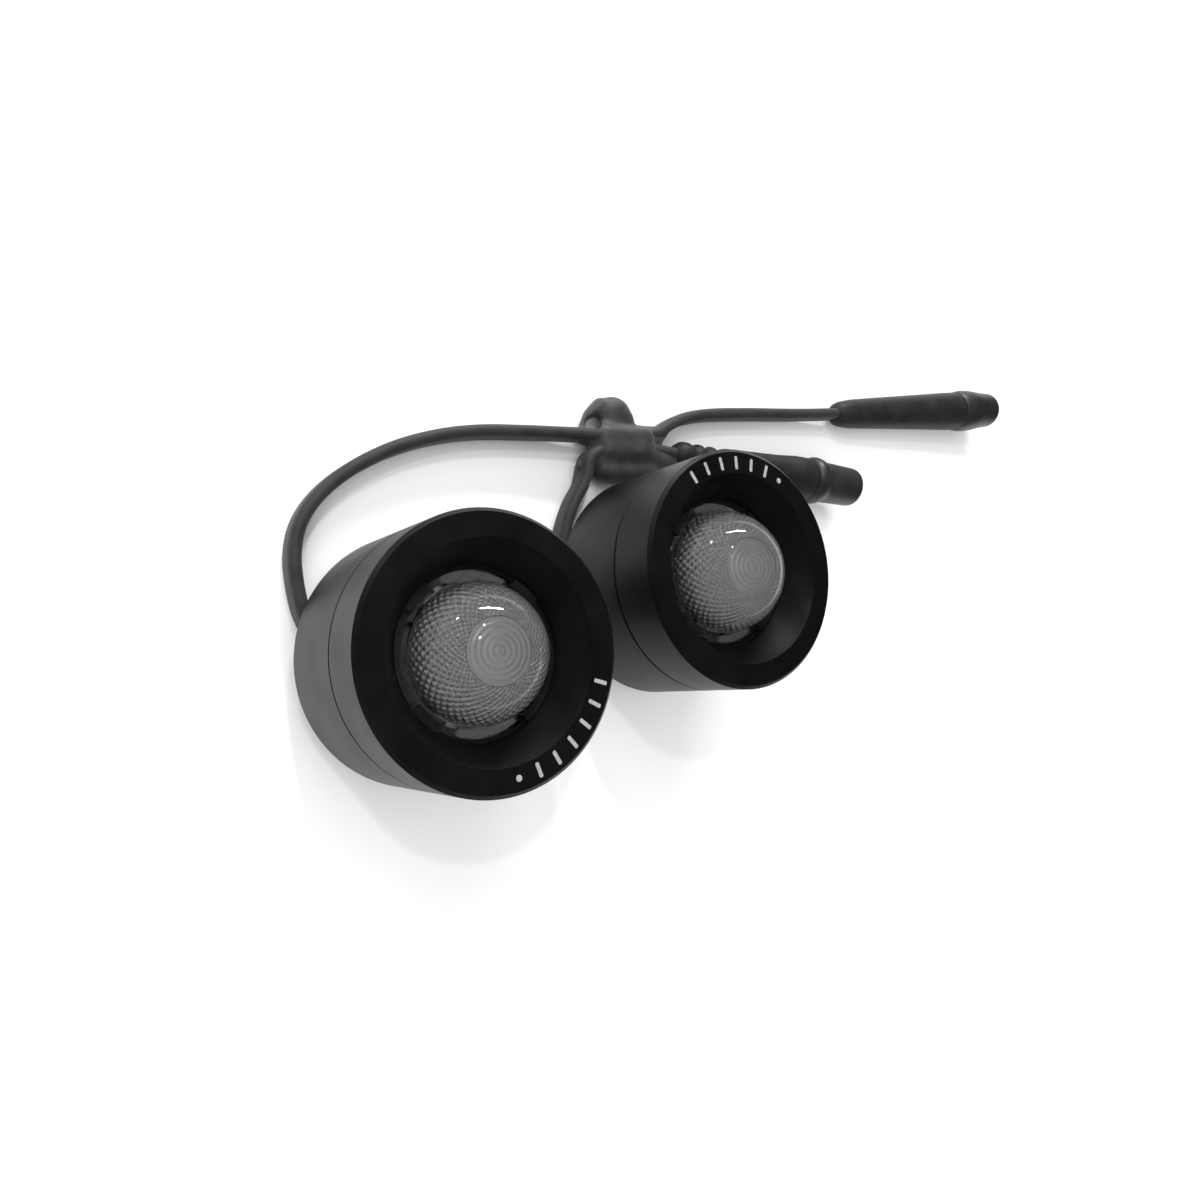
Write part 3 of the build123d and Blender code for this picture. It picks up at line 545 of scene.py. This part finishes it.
def plug_plastic():
    """Harder and slightly glossier plastic of the plugs' collars and noses."""
    return mottled("plug_plastic", dark=(0.014, 0.014, 0.0145), light=(0.020, 0.020, 0.0205),
                   roughness=(0.38, 0.48), grain=0.16 * MM, depth=0.015 * MM)


def seal_rubber():
    """Black sealing rubber."""
    return mottled("seal_rubber", dark=(0.01, 0.01, 0.01), light=(0.02, 0.02, 0.02),
                   roughness=(0.55, 0.7), grain=0.2 * MM, depth=0.03 * MM)


def insert_plastic():
    """Matt black plastic of the plugs' inserts."""
    return mottled("insert_plastic", dark=(0.010, 0.010, 0.010), light=(0.018, 0.018, 0.018),
                   roughness=(0.5, 0.6), grain=0.2 * MM, depth=0.02 * MM)


def spring_steel():
    """Dark spring steel of the circlips."""
    return brushed("spring_steel", dark=(0.16, 0.16, 0.17), light=(0.3, 0.3, 0.31), roughness=(0.3, 0.45))


def screw_steel():
    """Bright steel of the screws."""
    return brushed("screw_steel", dark=(0.5, 0.5, 0.51), light=(0.66, 0.66, 0.67), roughness=(0.22, 0.36))


def contact_brass():
    """Brass of the pins and contacts."""
    return brushed("contact_brass", dark=(0.62, 0.42, 0.14), light=(0.78, 0.56, 0.22),
                   roughness=(0.2, 0.32))


def white_board():
    """White mask of the LED board."""
    return solder_mask("white_board", dark=(0.78, 0.78, 0.75), light=(0.86, 0.86, 0.85),
                       roughness=(0.3, 0.4), track=(2.5 * MM, (1, 1, 1)), coat=0.3)


def green_board():
    """Green mask of the driver board."""
    return solder_mask("green_board", dark=(0.008, 0.09, 0.035), light=(0.02, 0.17, 0.06),
                       roughness=(0.28, 0.4), track=(1.6 * MM, (1, 3, 1)), coat=0.4)


def phosphor():
    """Yellow phosphor under clear silicone."""
    return mottled("phosphor", dark=(0.72, 0.55, 0.10), light=(0.85, 0.70, 0.2), roughness=(0.2, 0.3),
                   grain=0.1 * MM, depth=0.01 * MM, patch=MM, coat_weight=0.8)


def pad_silicone():
    """Soft blue-grey pad that carries heat."""
    return mottled("pad_silicone", dark=(0.22, 0.27, 0.33), light=(0.28, 0.33, 0.40),
                   roughness=(0.6, 0.75), grain=0.3 * MM, depth=0.04 * MM)


def amber_film():
    """Thin amber insulating film."""
    return mottled("amber_film", dark=(0.42, 0.17, 0.02), light=(0.55, 0.25, 0.03),
                   roughness=(0.15, 0.25), grain=MM, depth=0.01 * MM)


def component_bodies():
    """Moulded bodies of the driver's parts."""
    return mottled("component_bodies", dark=(0.02, 0.02, 0.02), light=(0.05, 0.05, 0.05),
                   roughness=(0.4, 0.6), grain=0.2 * MM, depth=0.02 * MM, patch=MM)


def core_insulation():
    """Red insulation of the lead's cores."""
    return mottled("core_insulation", dark=(0.38, 0.02, 0.015), light=(0.48, 0.03, 0.02),
                   roughness=(0.3, 0.4), grain=0.3 * MM, depth=0.01 * MM)


def print_ink():
    """Light grey pad-printed ink, a little thin in places."""
    return mottled("print_ink", dark=(0.22, 0.22, 0.22), light=(0.30, 0.30, 0.30),
                   roughness=(0.5, 0.62), grain=0.1 * MM, depth=0.008 * MM, patch=0.5 * MM)


def clear_lens():
    """Clear moulded optic, with the faintest flow in its surface."""
    finish = Finish("clear_lens", transmission_weight=1.0, ior=1.49, base_color=(0.96, 0.97, 0.97, 1))
    flow = finish.noise(6 * MM, detail=2)
    finish.spread(flow, 0.0, 0.02)
    finish.bump(flow, 0.01 * MM, strength=0.1)
    return finish.material


def lens_core():
    """Silvery look of the light that the lens's facets turn back."""
    finish = Finish("lens_core", metallic=0.62, specular_ior_level=0.5)
    cloud = finish.noise(1.8 * MM)
    finish.ramp(cloud, (0.17, 0.17, 0.168), (0.20, 0.20, 0.198), low=0.2, high=0.8)
    finish.spread(cloud, 0.30, 0.36)
    finish.bump(finish.noise(0.5 * MM, detail=1), 0.006 * MM)
    return finish.material


def pale_floor():
    """Plain pale floor."""
    finish = Finish("pale_floor")
    cloud = finish.noise(0.25)
    finish.ramp(cloud, (0.80, 0.80, 0.80), (0.83, 0.83, 0.83))
    finish.spread(cloud, 0.7, 0.8)
    return finish.material


# Which finish each CAD node that stays is given
NODE_FINISHES = {
    "bezel": black_anodised,
    "housing": black_anodised,
    "rear_cover": black_anodised,
    "lens_carrier": carrier_plastic,
    "lens_gasket": seal_rubber,
    "body_seal": seal_rubber,
    "rear_seal": seal_rubber,
    "lens_circlip": spring_steel,
    "led_board": white_board,
    "led_emitter": phosphor,
    "thermal_pad": pad_silicone,
    "board_screws": screw_steel,
    "cover_screws": screw_steel,
    "led_pins": contact_brass,
    "driver_board": green_board,
    "driver_parts": component_bodies,
    "insulator": amber_film,
    "input_leads": core_insulation,
    "lead_boot": cable_rubber,
    "plug_insert": insert_plastic,
    "plug_contacts": contact_brass,
}
NEW_FINISHES = [
    cable_rubber,
    tie_rubber,
    grip_rubber,
    plug_plastic,
    print_ink,
    clear_lens,
    lens_core,
    pale_floor,
]


def make_materials():
    """Every finish once, by its name."""
    finishes = dict.fromkeys([*NODE_FINISHES.values(), *NEW_FINISHES])
    return {finish.__name__: finish() for finish in finishes}


def paint_nodes(materials):
    """Gives each CAD node that stays its finish."""
    for node, finish in NODE_FINISHES.items():
        for side in SIDES:
            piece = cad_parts[f"{node}_{side}"]
            piece.data.materials.clear()
            piece.data.materials.append(materials[finish.__name__])


# ---------------------------------------------------------------- lens


def dome_arc():
    """The dome's outline, from its top down to the flange."""
    angles = [radians(90 - 90 * step / DOME_ARC_STEPS) for step in range(DOME_ARC_STEPS + 1)]
    return [(DOME_RADIUS * cos(angle), DOME_CENTRE_Z + DOME_RADIUS * sin(angle)) for angle in angles]


def lens_outline():
    """Clear lens: dome, flange with softened edges, cone and the recess over the emitter."""
    recess_top = LENS_LOW_Z + RECESS_DEPTH
    flange = softened([
        (DOME_RADIUS + FLANGE_STEP, FLANGE_TOP_Z),
        (FLANGE_RADIUS, FLANGE_TOP_Z),
        (FLANGE_RADIUS, FLANGE_LOW_Z),
        (CONE_TOP_RADIUS, FLANGE_LOW_Z),
    ], FLANGE_ROUND, steps=3)
    cone = [
        (CONE_FOOT_RADIUS, LENS_LOW_Z),
        (RECESS_RADIUS, LENS_LOW_Z),
        (RECESS_RADIUS, recess_top),
        (0, recess_top),
    ]
    return dome_arc() + flange + cone


def core_point(angle, relief=0):
    """A (radius, height) point on the core's dome."""
    return ((CORE_RADIUS + relief) * cos(angle), CORE_FOOT_Z + (CORE_HEIGHT + relief) * sin(angle))


def centre_angle():
    """Where the core's cells end and its rings begin."""
    return acos(CORE_CENTRE_RADIUS / CORE_RADIUS)


def core_wall_outline():
    """Points down the core's side, as far apart as its cells are wide."""
    outline = []
    angle = 0
    while angle < centre_angle():
        outline.append(core_point(angle))
        cell = 2 * pi * outline[-1][0] / CELL_COUNT
        angle += cell / hypot(CORE_HEIGHT * cos(angle), CONE_TOP_RADIUS * sin(angle))
    outline.append(core_point(angle))
    return outline


def make_core_wall():
    """The core's patterned side: diamond cells, each with a relief of its own."""
    wall = turned("core_wall", core_wall_outline(), CELL_COUNT)
    straight = {tuple(sorted(edge.vertices)) for edge in wall.data.edges}
    bpy.ops.object.mode_set(mode="EDIT")
    bpy.ops.mesh.select_all(action="SELECT")
    bpy.ops.mesh.poke()
    bpy.ops.object.mode_set(mode="OBJECT")
    select_edges(wall, lambda ends: ends in straight)
    bpy.ops.object.mode_set(mode="EDIT")
    bpy.ops.mesh.dissolve_edges(use_verts=False)
    bpy.ops.mesh.select_all(action="SELECT")
    bpy.ops.mesh.normals_make_consistent(inside=False)
    bpy.ops.mesh.inset(thickness=CELL_INSET, depth=CELL_DEPTH, use_individual=True)
    bpy.ops.object.mode_set(mode="OBJECT")
    return wall


def make_core_centre():
    """The middle of the core: fine rings round the axis."""
    start = centre_angle() - CORE_GAP / CORE_CENTRE_RADIUS
    step = (pi / 2 - start) / RING_COUNT
    outline = []
    for ring in range(RING_COUNT):
        outline.append(core_point(start + ring * step, -RING_RELIEF))
        outline.append(core_point(start + (ring + 0.5) * step, RING_RELIEF))
    outline.append((0, core_point(pi / 2)[1]))
    return turned("core_centre", softened(outline, RING_ROUND, steps=2), RING_STEPS)


def make_core():
    """The whole core, with a thin wall and rounded relief."""
    core = join([make_core_wall(), make_core_centre()], "core_pattern")
    apply_modifier(core, "SOLIDIFY", thickness=CORE_WALL, offset=-1)
    apply_modifier(core, "SUBSURF", levels=1, render_levels=1)
    return smooth(core, NO_EDGE_ANGLE)


def place_lens(side, lens_pattern, core_pattern, materials):
    """A clear lens over its patterned core, in one lamp."""
    lens = copy_of(lens_pattern, f"clear_lens_{side}", lamp_place(side))
    dress(lens, materials["clear_lens"], f"lens_stack_{side}")
    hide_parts(f"lens_{side}")
    core = copy_of(core_pattern, f"lens_core_{side}", lamp_place(side))
    dress(core, materials["lens_core"], f"lens_stack_{side}")


# ---------------------------------------------------------------- marks on the front rings


def make_mark_bar():
    """One short printed bar, flat and with rounded corners."""
    half = Vector((MARK_LENGTH, MARK_WIDTH, MARK_HEIGHT)) / 2
    deselect()
    bpy.ops.mesh.primitive_cube_add(size=2)
    bar = current("bar")
    settle(bar, Matrix.Translation((0, 0, half.z)) @ Matrix.Diagonal((*half, 1)))
    heights = [vertex.co.z for vertex in bar.data.vertices]
    select_edges(bar, lambda ends: abs(heights[ends[0]] - heights[ends[1]]) > half.z)
    bpy.ops.object.mode_set(mode="EDIT")
    bpy.ops.mesh.bevel(offset=MARK_ROUND, segments=4)
    bpy.ops.object.mode_set(mode="OBJECT")
    return bar


def make_mark_dot():
    """The round dot that ends a row of bars."""
    deselect()
    bpy.ops.mesh.primitive_cylinder_add(vertices=ROUND_SIDES, radius=MARK_DOT_RADIUS, depth=MARK_HEIGHT,
                                        location=(0, 0, MARK_HEIGHT / 2))
    dot = settle(current("dot"))
    bpy.ops.object.mode_set(mode="EDIT")
    bpy.ops.mesh.select_all(action="SELECT")
    bpy.ops.mesh.bevel(offset=MARK_DOT_ROUND, segments=2)
    bpy.ops.object.mode_set(mode="OBJECT")
    return dot


def place_marks(side, bar, dot, materials):
    """A row of plain bars and a dot round one stretch of a front ring's face."""
    marks = []
    for index in range(MARK_COUNT + 1):
        angle = radians(MARK_START[side] + MARK_STEP * index)
        turn = Matrix.Rotation(angle, 4, "Z") @ Matrix.Translation((MARK_MIDDLE_RADIUS, 0, FACE_Z))
        marks.append(copy_of(bar if index < MARK_COUNT else dot, "mark", lamp_place(side) @ turn))
    row = smooth(join(marks, f"ring_marks_{side}"))
    dress(row, materials["print_ink"], f"front_ring_{side}")


# ---------------------------------------------------------------- leads


def plug_matrix(side):
    """Where a plug's own frame goes: its lead end at the origin and its nose along +X."""
    plug = PLUGS[side]
    tilt = asin((PLUG_COLLAR_Z - PLUG_START_Z) / (plug["grip"] + COLLAR_LENGTH / 2))
    place = Matrix.Translation(Vector((*plug["start"], PLUG_START_Z)))
    return place @ Matrix.Rotation(plug["heading"], 4, "Z") @ Matrix.Rotation(-tilt, 4, "Y")


def tie_matrix():
    """The tie's own frame: X along the leads, Y towards its loop, Z up."""
    return Matrix.Translation(TIE_CENTRE) @ Matrix.Rotation(TIE_HEADING, 4, "Z")


def lead_route(side):
    """The control points of a lead: boot, over the surface, through the tie, up to the plug."""
    points = []
    for run in (0, BOOT_RUN):
        reach = BOOT_END_RADIUS + run
        x = SIGNS[side] * HALF_SPACING + reach * cos(EXIT_ANGLE)
        points.append(Vector((x, reach * sin(EXIT_ANGLE), LEAD_Z)))
    points += [Vector((x, y, LEAD_Z + rise)) for x, y, rise in LEAD_ROUTES[side]]
    lane = -SIGNS[side] * LANE_OFFSET
    points += [tie_matrix() @ Vector((x, lane, TIE_LEAD_Z)) for x in TIE_REACH]
    points += [Vector((x, y, LEAD_Z + rise)) for x, y, rise in LEAD_TAILS[side]]
    points += [plug_matrix(side) @ Vector((x, 0, 0)) for x in (-PLUGS[side]["approach"], 0)]
    return points


def smooth_line(name, points):
    """Points along the smooth line that has the given points as its control points."""
    data = bpy.data.curves.new(name, "CURVE")
    data.dimensions = "3D"
    data.resolution_u = LEAD_LINE_STEPS
    spline = data.splines.new("NURBS")
    spline.points.add(len(points) - 1)
    for knot, point in zip(spline.points, points):
        knot.co = (*point, 1)
    spline.order_u = 3
    spline.use_endpoint_u = True
    line = bpy.data.objects.new(name, data)
    bpy.context.collection.objects.link(line)
    mesh = bpy.data.meshes.new_from_object(line)
    found = [vertex.co.copy() for vertex in mesh.vertices]
    bpy.data.objects.remove(line)
    return found


def lead_section():
    """Points round the lead's flat oval section: across it, and up."""
    half_thick = LEAD_THICKNESS / 2
    middle = LEAD_WIDTH / 2 - half_thick
    points = []
    for half_turn, shift in ((0, middle), (pi, -middle)):
        for step in range(LEAD_END_STEPS + 1):
            angle = half_turn + pi * step / LEAD_END_STEPS
            points.append((half_thick * cos(angle), shift + half_thick * sin(angle)))
    return points


def tube(name, line, section):
    """A closed tube with the section kept upright along a line."""
    count = len(section)
    vertices = []
    for index, point in enumerate(line):
        along = (line[min(index + 1, len(line) - 1)] - line[max(index - 1, 0)]).normalized()
        across = along.cross(UP).normalized()
        rise = across.cross(along)
        vertices += [point + across * x + rise * y for x, y in section]
    last = len(vertices)
    faces = [tuple(range(count)), tuple(range(last - 1, last - count - 1, -1))]
    for ring in range(0, last - count, count):
        for step in range(count):
            beside = (step + 1) % count
            faces.append((ring + step, ring + count + step, ring + count + beside, ring + beside))
    mesh = bpy.data.meshes.new(name)
    mesh.from_pydata(vertices, [], faces)
    piece = bpy.data.objects.new(name, mesh)
    bpy.context.collection.objects.link(piece)
    return piece


def make_lead(side, on_it, materials):
    """A flat lead that lies on its narrow edge. The plug pieces passed as on_it are not used."""
    line = smooth_line(f"lead_line_{side}", lead_route(side))
    lead = smooth(tube(f"flat_lead_{side}", line, lead_section()), TUBE_EDGE_ANGLE)
    dress(lead, materials["cable_rubber"], ROOT)
    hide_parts(f"lead_{side}")
    lead_route(side)[0]


# ---------------------------------------------------------------- tie


def tie_masses():
    """The tie's masses: the blocks over both leads, the hump, the strap round the eye and the webs."""
    masses = [soft_block(Vector(low) * MM, Vector(high) * MM, edge * MM) for low, high, edge in TIE_BLOCKS]
    masses.append(soft_ball(*[Vector(part) * MM for part in TIE_HUMP]))
    for points, radii, height in TIE_WEBS:
        masses += chain([Vector(point) * MM for point in points], [radius * MM for radius in radii], height)
    return masses


def cut_eye(tie):
    """Cuts the leaning hole through the tie's strap."""
    deselect()
    bpy.ops.mesh.primitive_cylinder_add(vertices=EYE_SIDES, radius=EYE_RADIUS, depth=EYE_LENGTH)
    eye = settle(current("eye"), Matrix.Translation(EYE_CENTRE) @ Matrix.Rotation(EYE_LEAN, 4, "Y"))
    apply_modifier(tie, "BOOLEAN", object=eye, operation="DIFFERENCE", solver="EXACT")
    bpy.data.objects.remove(eye)


def make_tie(materials):
    """Moulded rubber tie that hugs both leads, with an eye through its strap."""
    tie = join(tie_masses(), "rubber_tie")
    apply_modifier(tie, "REMESH", mode="VOXEL", voxel_size=TIE_GRAIN)
    cut_eye(tie)
    apply_modifier(tie, "REMESH", mode="VOXEL", voxel_size=TIE_GRAIN)
    apply_modifier(tie, "SMOOTH", factor=0.6, iterations=TIE_SMOOTHING)
    smooth(settle(tie, tie_matrix()), NO_EDGE_ANGLE)
    dress(tie, materials["tie_rubber"], ROOT)
    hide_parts("cable_tie")


# ---------------------------------------------------------------- plugs


def grip_outline(side):
    """The grip's (radius, distance) points from the lead to the collar."""
    length = PLUGS[side]["grip"]
    outline = [(0, 0), *in_metres(GRIP_NECK)]
    for start in FLEX_RING_STARTS[side]:
        outline += in_metres(FLEX_RING, start * MM)
    outline += in_metres(GRIP_SIDES[side]) + in_metres(GRIP_ENDS, length)
    outline.append((0, length))
    return softened(outline, GRIP_ROUNDS[side])


def shell_outline(side):
    """The collar and the nose, open at its end over the insert."""
    start = PLUGS[side]["grip"]
    end = start + COLLAR_LENGTH + NOSE_LENGTH
    floor = end - INSERT_SET_BACK - INSERT_LENGTH - INSERT_GAP
    bore = INSERT_RADIUS + INSERT_GAP
    outside = [(0, start), *in_metres(COLLARS[side], start)]
    outside += [(NOSE_RADIUS, end - NOSE_TAPER), (NOSE_END_RADIUS, end)]
    return softened(outside, COLLAR_ROUND) + [(bore, end), (bore, floor), (0, floor)]


def make_plug(side, materials):
    """Grip and shell of one plug; its insert and contacts stay as they are."""
    along_x = plug_matrix(side) @ Matrix.Rotation(radians(90), 4, "Y")
    grip = smooth(turned(f"soft_grip_{side}", grip_outline(side), PLUG_STEPS), TUBE_EDGE_ANGLE)
    dress(settle(grip, along_x), materials["grip_rubber"], ROOT)
    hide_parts(f"plug_grip_{side}")
    shell = smooth(turned(f"plug_nose_{side}", shell_outline(side), PLUG_STEPS), TUBE_EDGE_ANGLE)
    dress(settle(shell, along_x), materials["plug_plastic"], ROOT)
    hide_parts(f"plug_shell_{side}")
    inner = [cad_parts[f"{part}_{side}"] for part in ("plug_insert", "plug_contacts")]
    return [grip, shell, *inner]


# ---------------------------------------------------------------- camera, floor and lights


def facing(place, forward, up):
    """The matrix of something at a place that looks along forward."""
    back = -forward.normalized()
    right = up.cross(back).normalized()
    turn = Matrix((right, back.cross(right), back)).transposed()
    return Matrix.Translation(place) @ turn.to_4x4()


def make_camera():
    """The camera, from its place and directions."""
    data = bpy.data.cameras.new("camera")
    data.lens = CAMERA_LENS
    data.sensor_width = SENSOR_WIDTH
    data.clip_start = NEAREST
    data.clip_end = FARTHEST
    camera = bpy.data.objects.new("camera", data)
    bpy.context.collection.objects.link(camera)
    camera.matrix_world = facing(CAMERA_PLACE, CAMERA_FORWARD, CAMERA_UP)
    bpy.context.scene.camera = camera


def make_floor(materials):
    """Plain pale floor under the lamps."""
    deselect()
    bpy.ops.mesh.primitive_plane_add(size=FLOOR_SIZE, location=(0, 0, 0))
    floor = current("floor")
    floor.data.materials.append(materials["pale_floor"])


def make_light(name, place, width, depth, power):
    """One oblong light aimed at the lamps."""
    data = bpy.data.lights.new(name, "AREA")
    data.shape = "RECTANGLE"
    data.size = width
    data.size_y = depth
    data.energy = power
    light = bpy.data.objects.new(name, data)
    bpy.context.collection.objects.link(light)
    light.matrix_world = facing(Vector(place), AIM - Vector(place), UP)
    return light


def make_lights():
    """The strip and small lamps that the lenses mirror, and the soft light over all."""
    for setting in MIRRORED_LIGHTS:
        make_light(*setting)
    for setting in SOFT_LIGHTS:
        make_light(*setting).visible_glossy = False
    world = bpy.data.worlds.new("studio")
    bpy.context.scene.world = world
    world.use_nodes = True
    world.node_tree.nodes["Background"].inputs["Color"].default_value = (1, 1, 1, 1)
    world.node_tree.nodes["Background"].inputs["Strength"].default_value = SKY_STRENGTH
    world.cycles_visibility.glossy = False
    bpy.context.scene.view_settings.view_transform = "Standard"


# ---------------------------------------------------------------- all of it


def build():
    """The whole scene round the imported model."""
    materials = make_materials()
    make_camera()
    make_floor(materials)
    make_lights()
    paint_nodes(materials)
    lens = smooth(turned("lens_pattern", lens_outline(), LENS_STEPS))
    patterns = [lens, make_core(), make_mark_bar(), make_mark_dot()]
    for side in SIDES:
        place_lens(side, *patterns[:2], materials)
        place_marks(side, *patterns[2:], materials)
        make_lead(side, make_plug(side, materials), materials)
    for pattern in patterns:
        bpy.data.objects.remove(pattern)
    make_tie(materials)


build()
